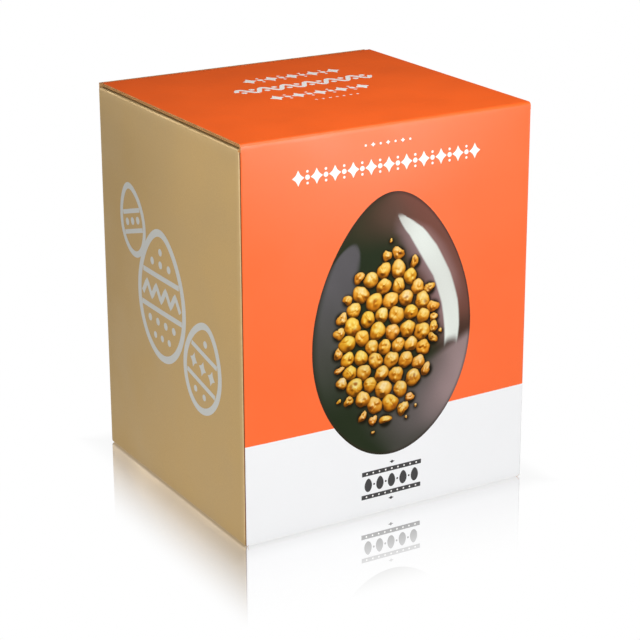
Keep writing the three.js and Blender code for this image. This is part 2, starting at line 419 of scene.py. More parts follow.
def printed(name, rgb, spread=0.04, rough=0.42, rough_span=0.06, metallic=0.0, worn_and_highlight_rgb=None,
            specular=0.5, wash=0.12, grain=0.5, from_paint=False, flake=0.0, coat=0.0,
            coat_rough=0.3, tint=0.0):
    """Ink on coated board: slight mottle, fibre grain, a faint washboard and
    rubbed folds, which on the gold's front and dust-flap folds are a painted highlight. Lengths in the textures are
    metres."""
    m, nt, bsdf = nodes_of(name)
    link = nt.links.new
    tc = nt.nodes.new("ShaderNodeTexCoord")
    obj = tc.outputs["Object"]
    uvn = nt.nodes.new("ShaderNodeUVMap")
    uvn.uv_map = "board"
    rgb = np.asarray(rgb)

    mottle = noise(nt, obj, 22.0, 3.0, 0.55)
    grit = noise(nt, obj, 1500.0, 2.0, 0.6)

    if from_paint:
        at = nt.nodes.new("ShaderNodeAttribute")
        at.attribute_name = "paint"
        base = at.outputs["Color"]
    else:
        soft = blend_nodes(nt)
        f = ramp(nt, 0.0, 1.0, 0.3, 0.7)
        link(mottle.outputs["Fac"], f.inputs["Value"])
        link(f.outputs["Result"], soft.inputs["Factor"])
        A(soft).default_value = rgba(np.clip(rgb * (1 - spread), 0, 1))
        B(soft).default_value = rgba(np.clip(rgb * (1 + spread), 0, 1))
        base = soft.outputs[2]

    fine = blend_nodes(nt, "MULTIPLY")
    fine.inputs["Factor"].default_value = 1.0
    g = ramp(nt, 1.0 - 0.05 * grain - 0.5 * flake, 1.0 + 0.03 * grain + 0.3 * flake, 0.25, 0.75)
    link(grit.outputs["Fac"], g.inputs["Value"])
    link(base, A(fine))
    link(g.outputs["Result"], B(fine))
    base = fine.outputs[2]

    # Lighter ink along folds, set per vertex: rubbed, cracked ink, and on the gold side panels' front and dust-flap
    # folds a painted highlight.
    if worn_and_highlight_rgb is not None:
        wear = nt.nodes.new("ShaderNodeAttribute")
        wear.attribute_name = "wear"
        crack = noise(nt, obj, 260.0, 3.0, 0.6)
        c = ramp(nt, 0.45, 0.85, 0.35, 0.70)
        link(crack.outputs["Fac"], c.inputs["Value"])
        both = nt.nodes.new("ShaderNodeMath")
        both.operation = "MULTIPLY"
        link(wear.outputs["Fac"], both.inputs[0])
        link(c.outputs["Result"], both.inputs[1])
        worn_and_highlight_mix = blend_nodes(nt)
        link(both.outputs[0], worn_and_highlight_mix.inputs["Factor"])
        link(base, A(worn_and_highlight_mix))
        B(worn_and_highlight_mix).default_value = rgba(worn_and_highlight_rgb)
        base = worn_and_highlight_mix.outputs[2]
    link(base, bsdf.inputs["Base Color"])

    r = ramp(nt, rough - rough_span, rough + rough_span, 0.3, 0.7)
    link(mottle.outputs["Fac"], r.inputs["Value"])
    link(r.outputs["Result"], bsdf.inputs["Roughness"])
    bsdf.inputs["Metallic"].default_value = metallic
    bsdf.inputs["Specular IOR Level"].default_value = specular
    if coat:
        bsdf.inputs["Coat Weight"].default_value = coat
        bsdf.inputs["Coat Roughness"].default_value = coat_rough

    height = nt.nodes.new("ShaderNodeMath")
    height.operation = "ADD"
    link(flute_height(nt, uvn.outputs["UV"], wash), height.inputs[0])
    link(grit.outputs["Fac"], height.inputs[1])
    bump = nt.nodes.new("ShaderNodeBump")
    bump.inputs["Strength"].default_value = 0.35
    bump.inputs["Distance"].default_value = 0.00003
    link(height.outputs[0], bump.inputs["Height"])
    link(bump.outputs["Normal"], bsdf.inputs["Normal"])
    return m


def kraft(name, rgb, dark, scale=1.0):
    """Uncoated brown board: long fibres and a few dark specks."""
    m, nt, bsdf = nodes_of(name)
    link = nt.links.new
    tc = nt.nodes.new("ShaderNodeTexCoord")
    mp = nt.nodes.new("ShaderNodeMapping")
    mp.inputs["Scale"].default_value = (1.0, 0.25, 1.0)
    link(tc.outputs["Object"], mp.inputs["Vector"])
    fibre = noise(nt, mp.outputs[0], 900.0 * scale, 4.0, 0.65)
    cloud = noise(nt, tc.outputs["Object"], 60.0, 2.0)
    speck = noise(nt, tc.outputs["Object"], 1400.0, 1.0)
    f = ramp(nt, 0.0, 1.0, 0.3, 0.72)
    link(fibre.outputs["Fac"], f.inputs["Value"])
    a = blend_nodes(nt)
    link(f.outputs["Result"], a.inputs["Factor"])
    A(a).default_value = rgba(dark)
    B(a).default_value = rgba(rgb)
    b = blend_nodes(nt, "MULTIPLY")
    b.inputs["Factor"].default_value = 1.0
    g = ramp(nt, 0.9, 1.08, 0.3, 0.7)
    link(cloud.outputs["Fac"], g.inputs["Value"])
    link(a.outputs[2], A(b))
    link(g.outputs["Result"], B(b))
    c = blend_nodes(nt)
    s = ramp(nt, 0.0, 0.5, 0.72, 0.8)
    link(speck.outputs["Fac"], s.inputs["Value"])
    link(s.outputs["Result"], c.inputs["Factor"])
    link(b.outputs[2], A(c))
    B(c).default_value = rgba(dark * 0.5)
    link(c.outputs[2], bsdf.inputs["Base Color"])
    r = ramp(nt, 0.8, 0.95, 0.3, 0.7)
    link(fibre.outputs["Fac"], r.inputs["Value"])
    link(r.outputs["Result"], bsdf.inputs["Roughness"])
    bsdf.inputs["Specular IOR Level"].default_value = 0.25
    bump = nt.nodes.new("ShaderNodeBump")
    bump.inputs["Strength"].default_value = 0.5
    bump.inputs["Distance"].default_value = 0.00006
    link(fibre.outputs["Fac"], bump.inputs["Height"])
    link(bump.outputs["Normal"], bsdf.inputs["Normal"])
    return m


ORANGE = np.array([0.98, 0.137, 0.017])
WHITE = np.array([0.868, 0.873, 0.886])
GOLD = np.array([0.499, 0.326, 0.117])
SILVER = lin(200, 200, 194)
COCOA = lin(34, 32, 33)

orange = printed("satin_orange_print", ORANGE, spread=0.015, rough=0.34, specular=0.3, worn_and_highlight_rgb=lin(255, 170, 130))
white = printed("satin_white_print", WHITE, spread=0.006, rough=0.42, specular=0.15, worn_and_highlight_rgb=lin(250, 246, 240), grain=0.2)
# The gold's pale ink is rubbed ink on the back folds and a painted highlight on the front fold and on the dust flap's
# fold.
gold = printed("metallic_gold_print", GOLD, spread=0.03, rough=0.46, metallic=0.45, specular=0.25,
               worn_and_highlight_rgb=lin(226, 198, 150), flake=0.10)
# A dark brown strip on the front upright folds, between the orange and the gold: painted shade of the crease.
crease_shade = printed("painted_crease_shade", lin(112, 58, 14), spread=0.02, rough=0.42, specular=0.2)
silver = printed("silver_print", SILVER, spread=0.02, rough=0.42, metallic=0.25, flake=0.05)
ornament_white = printed("white_ornament_print", lin(246, 244, 240), spread=0.01, rough=0.42, grain=0.2)
dark_print = printed("dark_brown_print", COCOA, spread=0.06, rough=0.42, grain=0.8)
picture = printed("picture_print", (1, 1, 1), rough=0.40, specular=0.03, from_paint=True, grain=0.8)
raw = kraft("raw_fluted_board", lin(255, 208, 138), lin(224, 162, 98))
voids = kraft("shade_between_flutes", lin(220, 156, 92), lin(158, 106, 54))
lining = kraft("brown_board_lining", lin(176, 134, 92), lin(140, 100, 64), 0.6)

pieces = []


# ------------------------------------------------------------- front and lid
def lid_rows():
    rows = [(np.array([-Y, z]), np.array([1.0, 0.0])) for z in (CREASE_TOP + 0.9, TOP - LID_R)]
    rows += arc((-Y + LID_R, TOP - LID_R), LID_R, math.pi, math.pi / 2, 9, first=False)
    rows += [(np.array([y, TOP]), np.array([0.0, -1.0]))
             for y in steps(-Y + LID_R, TUCK_Y - TUCK_R, 4.4)[1:]]
    rows += arc((TUCK_Y - TUCK_R, TOP - TUCK_R), TUCK_R, math.pi / 2, 0.0, 7, first=False)
    rows += [(np.array([TUCK_Y, z]), np.array([-1.0, 0.0])) for z in (TOP - 6, TOP - 11, TOP - 18)]
    return rows


def colour_of(kinds, rows, main, foot):
    def pick(i, j):
        z = (rows[j][0][1] + rows[j + 1][0][1]) / 2
        return (foot if z < WHITE_Z and kinds[j + 1] != "upper" else main, 3, 2)
    return pick


def crushed(rows, kinds, nu, full=BOARD):
    """Creasing crushes the board where it turns tightly."""
    t = np.full((nu, len(rows)), full)
    for j, k in enumerate(kinds):
        if k == "basefold":
            t[:, j] = 1.7
    return t


P, N, UV, rows, kinds, s = wide_panel(-1, lid_rows())
mask = wide_mask(P, kinds, rows, -1)
wear = wear_of(P, s, rows, kinds)
thick = crushed(rows, kinds, len(COLS))
bag = Bag()
pick = colour_of(kinds, rows, 0, 1)
v, f, m, uv, w = sheet(P, N, np.minimum(thick, LINER), mask, UV, pick, wear)
bag.add(v, f, m, uv, w)
# Behind the printed liner the fluted core stops short of the raw edges.
P2 = P.copy()
wide = np.abs(P2[..., 0]) > WALL_HALF + 0.01
P2[..., 0] = np.where(wide, np.sign(P2[..., 0]) * (LID_HALF - 0.34), P2[..., 0])
core = mask.copy()
v, f, m, uv, w = sheet(P2, N, thick, core, UV, lambda i, j: (3, 3, 4), None, outer=LINER)
bag.add(v, f, m, uv, w)
front = bag.object("front_lid_panel", [orange, white, raw, lining, voids])
pieces.append(front)
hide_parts("carton")

# The fluting that shows in the raw side edges of the lid, and its inner liner.
edge_rows = [(q, n) for (q, n), k in zip(rows, kinds) if k == "upper"]
edge_rows = [(np.array([-Y, CREASE_TOP]), np.array([1.0, 0.0]))] + edge_rows[:-1]
es = run_length(edge_rows)
pts = np.array([q for q, n in edge_rows])
nrm = np.array([n for q, n in edge_rows])


def along(sv):
    q = np.stack([np.interp(sv, es, pts[:, k]) for k in (0, 1)], 1)
    n = np.stack([np.interp(sv, es, nrm[:, k]) for k in (0, 1)], 1)
    n /= np.linalg.norm(n, axis=1)[:, None]
    return q, n


def edge_sheet(xs, sv, depth0, depth1):
    q, n = along(sv)
    nu, nv = len(xs), len(sv)
    P = np.zeros((nu, nv, 3))
    N = np.zeros((nu, nv, 3))
    for i, x in enumerate(xs):
        P[i] = np.stack([np.full(nv, x), q[:, 0], q[:, 1]], 1)
        N[i] = np.stack([np.zeros(nv), n[:, 0], n[:, 1]], 1)
    UV = np.stack(np.broadcast_arrays(np.asarray(xs, float)[:, None], sv[None, :]), 2)
    return sheet(P, N, np.broadcast_to(depth1, (nu, nv)), np.ones((nu - 1, nv - 1), bool), UV,
                 lambda i, j: (0, 0, 0), None, outer=np.broadcast_to(depth0, (nu, nv)))


bag = Bag()
for sign in (-1, 1):
    sv = np.arange(0.15, es[-1] - 0.2, FLUTE / 12)
    wave = (LINER + BOARD - LINER) / 2 + (BOARD / 2 - LINER - 0.1) * np.sin(2 * math.pi * sv / FLUTE + 0.4 * sign)
    ragged = 0.10 * np.sin(sv * 1.7 + sign) * np.sin(sv * 0.43)
    xs = sign * np.array([WALL_HALF + 0.2, LID_HALF - 0.08])
    v, f, m, uv, w = edge_sheet(xs, sv, wave - 0.20, wave + 0.20)
    v[:, 0] += np.where(np.abs(v[:, 0]) > WALL_HALF + 0.5, sign * 0.08 * np.sin(v[:, 1] * 1.9), 0)
    bag.add(v, f, m, uv)
    coarse = np.array([x for x in es if x < es[-1] - 0.1])
    v, f, m, uv, w = edge_sheet(sign * np.array([LID_HALF - 0.335, LID_HALF - 0.02]), coarse, BOARD - LINER, BOARD)
    bag.add(v, f, m, uv)
pieces.append(bag.object("lid_edge_fluting", [raw]))


# ------------------------------------------------------------------ back
def back_rows():
    return [(np.array([Y, z]), np.array([-1.0, 0.0])) for z in (CREASE_TOP + 1.5, BACK_TOP - 1.0, BACK_TOP)]


P, N, UV, rows, kinds, s = wide_panel(1, back_rows())
mask = wide_mask(P, kinds, rows, 1)
# The glued joint runs up the back: the panel's raw edge at +X stops just
# short of the fold, over the glue flap.
P[-1, :, 0] = np.where(P[-1, :, 0] > WALL_HALF, WALL_HALF + 0.2, P[-1, :, 0])
for j, k in enumerate(kinds):
    if k in ("wall", "upper"):
        for c in (-2, -3, -4, -5):
            P[c, j, 0] -= 0.7 * (6 + c) / 4 if c != -2 else 0.7
wear = wear_of(P, s, rows, kinds)
thick = crushed(rows, kinds, len(COLS))
pick = colour_of(kinds, rows, 0, 1)


def pick_back(i, j):
    z = (rows[j][0][1] + rows[j + 1][0][1]) / 2
    return (1 if z < WHITE_Z else 0, 3, 2)


mask[-1, :] = False
bag = Bag()
v, f, m, uv, w = sheet(P, N, LINER, mask, UV, pick_back, wear)
bag.add(v, f, m, uv, w)
core = mask.copy()
core[:, -1] = False
v, f, m, uv, w = sheet(P, N, thick - LINER, core, UV, lambda i, j: (3, 3, 2), None, outer=LINER)
bag.add(v, f, m, uv, w)
v, f, m, uv, w = sheet(P, N, thick, mask, UV, lambda i, j: (3, 3, 2), None, outer=thick - LINER)
bag.add(v, f, m, uv, w)
back = bag.object("back_panel", [orange, white, raw, lining])
pieces.append(back)

# What shows of the fluting in the back panel's cut top edge: a leaning web.
bag = Bag()
xs = np.linspace(-LID_HALF + 0.2, WALL_HALF - 1.2, 60)
lean = 0.10 * np.sin(xs * 0.9) + 0.06 * np.sin(xs * 2.3 + 1)
low = np.stack([xs, np.full(60, Y - LINER - 0.15) + lean * 0.3, np.full(60, BACK_TOP - 1.4)], 1)
high = np.stack([xs, np.full(60, Y - BOARD + LINER + 0.45) + lean, np.full(60, BACK_TOP - 0.25) + 0.08 * np.sin(xs * 1.7)], 1)
v = np.concatenate([low, high, low + [0, -0.16, 0], high + [0, -0.16, 0]])
f = []
for i in range(59):
    a, b = i, i + 1
    f += [[a, b, b + 60, a + 60], [b + 120, a + 120, a + 180, b + 180],
          [a + 60, b + 60, b + 180, a + 180], [b, a, a + 120, b + 120]]
f += [[0, 60, 180, 120], [59, 179, 239, 119]]
bag.add(v, f, 0)
pieces.append(bag.object("back_edge_fluting", [raw]))


# ------------------------------------------------------------------ sides
def side_panel(sign):
    """Side panel (sign -1 left, +1 right) with both upright folds, its base
    flap and its dust flap. Columns run from the front joint to the back one."""
    front_c = (-(X - UPRIGHT_R), -(Y - UPRIGHT_R))
    cols = []          # (kind, value): arc angle or y on the flat
    n_arc = 7
    for i in range(n_arc + 1):
        cols.append(("front", i / n_arc))
    flat = [-(Y - UPRIGHT_R) + d for d in (0.5, 1.0)] + list(np.linspace(-(Y - UPRIGHT_R) + 4.5, (Y - UPRIGHT_R) - 4.5, 46)) \
        + [(Y - UPRIGHT_R) - d for d in (1.0, 0.4)]
    cols += [("flat", y) for y in flat]
    for i in range(n_arc + 1):
        cols.append(("back", i / n_arc))
    # rows: base flap, base fold, wall, flap fold, dust flap
    rows = []
    for x in (X - Y + 2 * HOOK + SEAM / 2, 40.0, 55.0, 70.0, 85.0, 96.0, X - BASE_R):
        rows.append(("base", x, 0.0))
    for i in range(1, 7):
        a = math.pi / 2 * i / 6
        rows.append(("basefold", BASE_R * (1 - math.sin(a)), BASE_R * (1 - math.cos(a))))
    for z in sorted(wall_zs()[1:] + [CREASE_TOP - 0.9, CREASE_TOP - 2.0]):
        rows.append(("wall", 0.0, z))
    for i in range(1, 9):
        a = math.pi / 2 * i / 8
        rows.append(("flapfold", FLAP_R * (1 - math.cos(a)), CREASE_TOP + FLAP_R * math.sin(a)))
    for d in (3.0, 10.0, 30.0, 60.0):
        rows.append(("flap", FLAP_R + d, CREASE_TOP + FLAP_R - 0.02 * d))
    nu, nv = len(cols), len(rows)
    P = np.zeros((nu, nv, 3))
    N = np.zeros((nu, nv, 3))
    UV = np.zeros((nu, nv, 2))
    S = np.zeros(nv)
    for j in range(1, nv):
        k0, a0, b0 = rows[j - 1]
        k1, a1, b1 = rows[j]
        if k0 == "base" and k1 == "base":
            S[j] = S[j - 1] + abs(a1 - a0)
        elif k0 == "base":
            S[j] = S[j - 1] + BASE_R * math.pi / 12
        else:
            S[j] = S[j - 1] + math.hypot(a1 - a0, b1 - b0)
    for j, (kind, a, b) in enumerate(rows):
        for i, (ck, cv) in enumerate(cols):
            if kind == "base":
                inset, z = BASE_R, 0.0
            elif kind in ("basefold",):
                inset, z = a, b
            elif kind == "wall":
                inset, z = 0.0, b
            else:
                inset, z = 0.0, min(b, CREASE_TOP)
            r = UPRIGHT_R - 0.6 * inset
            xs, ys = X - inset, Y - inset
            if ck == "flat":
                half = ys - r
                y = cv / (Y - UPRIGHT_R) * half
                px, py, pz = xs, y, z
                nx, ny, nz = -1.0, 0.0, 0.0
                if kind == "wall":
                    px += float(bow_side(y, z))
                elif kind == "basefold":
                    ang = math.acos(max(-1, min(1, 1 - b / BASE_R)))
                    nx, nz = -math.sin(ang), math.cos(ang)
                elif kind == "base":
                    lim = min(half, max(a - (X - Y) - SEAM * 0.7, 2 * HOOK - SEAM * 0.2))
                    px, py, pz = a, cv / (Y - UPRIGHT_R) * lim, 0.0
                    nx, nz = 0.0, 1.0
                elif kind == "flapfold":
                    ang = math.asin(max(-1, min(1, (b - CREASE_TOP) / FLAP_R)))
                    px, pz = X - a, b
                    nx, nz = -math.cos(ang), -math.sin(ang)
                elif kind == "flap":
                    px, pz = X - a, b
                    nx, nz = 0.0, -1.0
                    taper = max(0.0, a - FLAP_R - 8) * 0.25
                    py = np.sign(py) * max(0.0, abs(py) * (1 - taper / (Y - UPRIGHT_R)))
                P[i, j] = (sign * px, py, pz)
                N[i, j] = (sign * nx, ny, nz)
                UV[i, j] = (y, S[j])
            else:
                t = math.pi / 2 * cv
                if ck == "front":      # from the front face round to the side
                    d = (math.sin(t), -math.cos(t))
                    c = (xs - r, -(ys - r))
                    u = -(Y - UPRIGHT_R) - UPRIGHT_R * (math.pi / 2 - t)
                else:
                    d = (math.cos(t), math.sin(t))
                    c = (xs - r, ys - r)
                    u = (Y - UPRIGHT_R) + UPRIGHT_R * t
                P[i, j] = (sign * (c[0] + r * d[0]), c[1] + r * d[1], z)
                if kind == "base" or (kind == "basefold" and b < 1e-6):
                    N[i, j] = (0, 0, 1)
                elif kind == "basefold":
                    ang = math.acos(max(-1, min(1, 1 - b / BASE_R)))
                    N[i, j] = (-sign * d[0] * math.sin(ang), -d[1] * math.sin(ang), math.cos(ang))
                else:
                    N[i, j] = (-sign * d[0], -d[1], 0)
                UV[i, j] = (u, S[j])
    mask = np.ones((nu - 1, nv - 1), bool)
    for j in range(nv - 1):
        kind = rows[j + 1][0]
        for i in range(nu - 1):
            a, b = cols[i], cols[i + 1]
            on_flat = a[0] == "flat" and b[0] == "flat"
            if kind == "base":
                mask[i, j] = on_flat
            elif kind in ("flapfold", "flap"):
                mask[i, j] = on_flat and a[1] > -(Y - UPRIGHT_R) + 0.9 and b[1] < (Y - UPRIGHT_R) - 0.9
            elif kind == "basefold" and rows[j][0] == "base":
                mask[i, j] = on_flat
    thick = np.full((nu, nv), BOARD)
    for j, (kind, a, b) in enumerate(rows):
        if kind == "basefold":
            thick[:, j] = 1.5
        r = UPRIGHT_R - 0.6 * (a if kind == "basefold" else 0.0)
        for i, (ck, cv) in enumerate(cols):
            if ck != "flat":
                thick[i, j] = min(thick[i, j], 0.9 * r)
    # How much each vertex lightens towards the pale ink: rubbed ink on the back fold and the base fold, a painted
    # highlight on the front fold, on the flat just beside it, on the dust flap's fold and on the wall just under that
    # fold.
    wear = np.zeros((nu, nv))
    for j, (kind, a, b) in enumerate(rows):
        for i, (ck, cv) in enumerate(cols):
            k = 0.0
            # painted highlight on the gold part of the front fold
            if ck == "front":
                k = float(smooth(0.60, 0.75, cv)) * 0.9
            elif ck == "back":
                k = math.sin(math.pi * cv) * 0.2 + 0.05
            # painted highlight running on from the front fold onto the flat
            elif kind != "base":
                k = 0.8 * math.exp(-((cv + Y - UPRIGHT_R) / 0.9) ** 2)
            if kind == "basefold":
                k = 0.05
            # painted highlight on the dust flap's fold
            elif kind == "flapfold":
                k = max(k, 0.35)
            # painted highlight fading down the wall under the dust flap's fold
            elif kind == "wall":
                k = max(k, 0.30 * math.exp(-(CREASE_TOP - b) / 2.2))
            wear[i, j] = k
    # The front's print runs round onto the folds, farther on the right.
    wrap = 3 if sign < 0 else 5

    def colour(i, j):
        if i >= n_arc or i > wrap + 1:
            return (0, 2, 1)
        # next to the gold, the dark brown strip: painted shade of the crease
        if i >= wrap:
            return (5, 2, 1)
        b = (rows[j][2] + rows[j + 1][2]) / 2
        return (4 if b < WHITE_Z and rows[j + 1][0] in ("wall", "basefold") else 3, 2, 1)

    v, f, m, uv, w = sheet(P, N, thick, mask, UV, colour, wear)
    bag = Bag()
    bag.add(v, f, m, uv, w)
    if sign > 0:       # the glue flap, inside the back panel's raw edge
        ys = Y - BOARD - 0.12
        q = [(WALL_HALF + 0.2, ys), (84.0, ys), (84.0, ys - 1.7), (WALL_HALF + 0.2, ys - 1.7)]
        zs = (4.0, CREASE_TOP - 3.0)
        vv = [(x, y, z) for z in zs for x, y in q]
        ff = [[3, 2, 1, 0], [4, 5, 6, 7]] + [[i, (i + 1) % 4, 4 + (i + 1) % 4, 4 + i] for i in range(4)]
        ff = [list(reversed(x)) for x in ff]
        bag.add(vv, ff, 2)
    return bag.object("side_panel_left" if sign < 0 else "side_panel_right",
                      [gold, raw, lining, orange, white, crease_shade])


pieces.append(side_panel(-1))
pieces.append(side_panel(1))


# ------------------------------------------------------------------- prints
# Flat shapes are drawn in a panel's own plane and laid on its surface as thin
# closed skins of ink, sunk a little into the board below.
def on_front(a, b, lift):
    a, b = np.asarray(a, float), np.asarray(b, float)
    return np.stack([a, -Y - bow_front(a, b) - lift, b], 1)


def on_back(a, b, lift):
    a, b = np.asarray(a, float), np.asarray(b, float)
    return np.stack([-a, Y + bow_front(a, b) + lift, b], 1)


def on_left(a, b, lift):          # a runs to the right as the panel is seen
    a, b = np.asarray(a, float), np.asarray(b, float)
    return np.stack([-X - bow_side(a, b) - lift, -a, b], 1)


def on_right(a, b, lift):
    a, b = np.asarray(a, float), np.asarray(b, float)
    return np.stack([X + bow_side(a, b) + lift, a, b], 1)


def on_lid(a, b, lift):
    a, b = np.asarray(a, float), np.asarray(b, float)
    return np.stack([a, b, TOP - sag_lid(a, b) + lift], 1)


def ink(bag, where, pts, faces, rim, lift=0.04, sink=0.25, mat=0, paint=None):
    """Adds one closed skin. faces are anticlockwise as the panel is seen, and
    rim is the outer loop, anticlockwise too. The underside is a fan."""
    pts = np.asarray(pts, float)
    n = len(pts)
    topv = where(pts[:, 0], pts[:, 1], lift)
    c = pts[rim].mean(0)
    under = np.concatenate([pts[rim], c[None]])
    low = where(under[:, 0], under[:, 1], -sink)
    out = [list(f) for f in faces]
    k = len(rim)
    for i in range(k):
        a, b = rim[i], rim[(i + 1) % k]
        out.append([b, a, n + i, n + (i + 1) % k])
        out.append([n + (i + 1) % k, n + i, n + k])
    uvs = np.concatenate([pts, under])
    pa = None
    if paint is not None:
        pa = np.concatenate([paint, paint[rim], paint[rim].mean(0)[None]])
    bag.add(np.concatenate([topv, low]), out, mat, uvs, None, pa)


def blob(outline, rings=2, centre=None):
    """Rings of a closed outline shrunk to its middle, as points and faces."""
    outline = np.asarray(outline, float)
    n = len(outline)
    c = outline.mean(0) if centre is None else np.asarray(centre, float)
    pts = [c[None]]
    for r in range(1, rings + 1):
        pts.append(c + (outline - c) * (r / rings))
    pts = np.concatenate(pts)
    faces = [[0, 1 + i, 1 + (i + 1) % n] for i in range(n)]
    for r in range(1, rings):
        a, b = 1 + (r - 1) * n, 1 + r * n
        faces += [[a + i, b + i, b + (i + 1) % n, a + (i + 1) % n] for i in range(n)]
    rim = [1 + (rings - 1) * n + i for i in range(n)]
    return pts, faces, rim


def ellipse(cx, cy, rx, ry, n=28, turn=0.0):
    a = np.linspace(0, 2 * math.pi, n, endpoint=False)
    x, y = rx * np.cos(a), ry * np.sin(a)
    return np.stack([cx + x * math.cos(turn) - y * math.sin(turn), cy + x * math.sin(turn) + y * math.cos(turn)], 1)


def lozenge(cx, cy, w, h, soft=5):
    """A lozenge whose sides curve in a little."""
    out = []
    tips = [(w / 2, 0), (0, h / 2), (-w / 2, 0), (0, -h / 2)]
    for k in range(4):
        a, b = np.array(tips[k]), np.array(tips[(k + 1) % 4])
        for i in range(soft):
            t = i / soft
            p = a * (1 - t) + b * t
            out.append(p * (1 - 0.22 * math.sin(math.pi * t)) + [cx, cy])
    return np.array(out)


def ribbon(bag, where, path, width, closed=False, lift=0.04, mat=0):
    """A stroke of ink of even width along a path, anticlockwise if closed."""
    path = np.asarray(path, float)
    n = len(path)
    if closed:
        tang = np.roll(path, -1, 0) - np.roll(path, 1, 0)
    else:
        tang = np.gradient(path, axis=0)
    tang /= np.maximum(np.linalg.norm(tang, axis=1), 1e-9)[:, None]
    side = np.stack([-tang[:, 1], tang[:, 0]], 1)
    a, b = path + side * width / 2, path - side * width / 2
    topa, topb = where(a[:, 0], a[:, 1], lift), where(b[:, 0], b[:, 1], lift)
    lowa, lowb = where(a[:, 0], a[:, 1], -0.25), where(b[:, 0], b[:, 1], -0.25)
    f = []
    last = n if closed else n - 1
    for i in range(last):
        j = (i + 1) % n
        f += [[n + i, n + j, j, i], [2 * n + i, 2 * n + j, 3 * n + j, 3 * n + i],
              [i, j, 2 * n + j, 2 * n + i], [n + j, n + i, 3 * n + i, 3 * n + j]]
    if not closed:
        f += [[n, 0, 2 * n, 3 * n], [n - 1, 2 * n - 1, 4 * n - 1, 3 * n - 1]]
    bag.add(np.concatenate([topa, topb, lowa, lowb]), f, mat, np.concatenate([a, b, a, b]))


def bead_band(bag, where, cx, cy, width, height, count, lift=0.04, mat=0, line_w=None):
    """A traditional bead-and-lozenge band: lozenges with beads between them."""
    pitch = width / count
    x0 = cx - width / 2 + pitch / 2
    for k in range(count):
        x = x0 + k * pitch
        ink(bag, where, *blob(lozenge(x, cy, pitch * 0.66, height)), lift=lift, mat=mat)
        if k + 1 < count:
            ink(bag, where, *blob(ellipse(x + pitch / 2, cy, height * 0.16, height * 0.16, 16)), lift=lift, mat=mat)
            for d in (-1, 1):
                ink(bag, where, *blob(ellipse(x + pitch / 2, cy + d * height * 0.36, height * 0.085, height * 0.085, 12)),
                    lift=lift, mat=mat)
    if line_w:
        for d in (-1, 1):
            y = cy + d * height * 0.78
            xs = np.linspace(cx - width / 2, cx + width / 2, 30)
            ribbon(bag, where, np.stack([xs, np.full(30, y)], 1), line_w, lift=lift, mat=mat)


def wave_band(bag, where, cx, cy, width, amp, count, stroke, lift=0.04, mat=0, dots=True):
    xs = np.linspace(-width / 2, width / 2, count * 16 + 1)
    ys = amp * np.sin(2 * math.pi * (xs + width / 2) / width * count)
    ribbon(bag, where, np.stack([cx + xs, cy + ys], 1), stroke, lift=lift, mat=mat)
    if dots:
        for k in range(count):
            for ph, sg in ((0.25, -1), (0.75, 1)):
                x = cx - width / 2 + (k + ph) * width / count
                ink(bag, where, *blob(ellipse(x, cy + sg * amp * 0.55, stroke * 0.62, stroke * 0.62, 14)), lift=lift, mat=mat)


def zigzag_band(bag, where, cx, cy, width, height, count, stroke, lift=0.04, mat=0):
    pts = []
    for k in range(count * 2 + 1):
        pts.append((cx - width / 2 + k * width / (2 * count), cy + (height / 2 if k % 2 else -height / 2)))
    fine = []
    for a, b in zip(pts[:-1], pts[1:]):
        for t in (0.0, 0.2, 0.4, 0.6, 0.8):
            fine.append((a[0] + (b[0] - a[0]) * t, a[1] + (b[1] - a[1]) * t))
    fine.append(pts[-1])
    ribbon(bag, where, fine, stroke, lift=lift, mat=mat)


# The egg: a plain upright ovoid in the middle of the front.
EGG_X, EGG_Z, EGG_A, EGG_H = 1.0, 133.6, 61.3, 91.1


def egg_half(q):
    q = np.asarray(q, float)
    return EGG_A * np.sqrt(np.clip(1 - q * q, 0, 1)) * (1 - 0.11 * (q + q * q))


# Hazelnuts: a crowded heap in a leaning oval patch. Whole kernels start at
# fixed random places and push each other apart until they nearly touch;
# broken ones lie against the rim of the heap and crumbs a little further out.
PATCH_X, PATCH_Z, PATCH_A, PATCH_H, LEAN = -4.5, 126.0, 33.5, 52.5, math.radians(4.0)


def settle(seed, whole, broken, crumbs):
    r = np.random.default_rng(seed)
    size = np.concatenate([r.uniform(5.2, 6.5, whole), r.uniform(3.3, 5.0, broken), r.uniform(1.2, 2.1, crumbs)])
    n = len(size)
    kind = np.array([0] * whole + [1] * broken + [2] * crumbs)
    a = r.uniform(0, 2 * math.pi, n)
    a[kind == 1] = np.linspace(0, 2 * math.pi, broken, endpoint=False) + r.uniform(-0.12, 0.12, broken)
    reach = np.where(kind == 0, np.sqrt(r.uniform(0, 1, n)), np.where(kind == 1, 1.06, 1.26))
    place = np.stack([PATCH_A * reach * np.cos(a), PATCH_H * reach * np.sin(a)], 1)
    lo = np.where(kind == 0, 0.0, np.where(kind == 1, 0.98, 1.17))
    hi = np.where(kind == 0, 0.90, np.where(kind == 1, 1.10, 1.34))
    semi = np.array([PATCH_A, PATCH_H])
    for _ in range(700):
        d = place[:, None] - place[None]
        dist = np.maximum(np.linalg.norm(d, axis=2), 1e-6)
        want = (size[:, None] + size[None]) * 0.985
        over = np.clip(want - dist, 0, None)
        np.fill_diagonal(over, 0)
        share = np.where(kind[:, None] > kind[None], 0.9, np.where(kind[:, None] < kind[None], 0.1, 0.5))
        place = place + (d / dist[..., None] * (over * share)[..., None]).sum(1) * 0.8
        rho = np.linalg.norm(place / semi, axis=1)
        place = place * (np.clip(rho, lo, hi) / np.maximum(rho, 1e-6))[:, None]
    x = PATCH_X + place[:, 0] * math.cos(LEAN) + place[:, 1] * math.sin(LEAN)
    z = PATCH_Z - place[:, 0] * math.sin(LEAN) + place[:, 1] * math.cos(LEAN)
    return x, z, size, kind, r.uniform(0, 2 * math.pi, n)


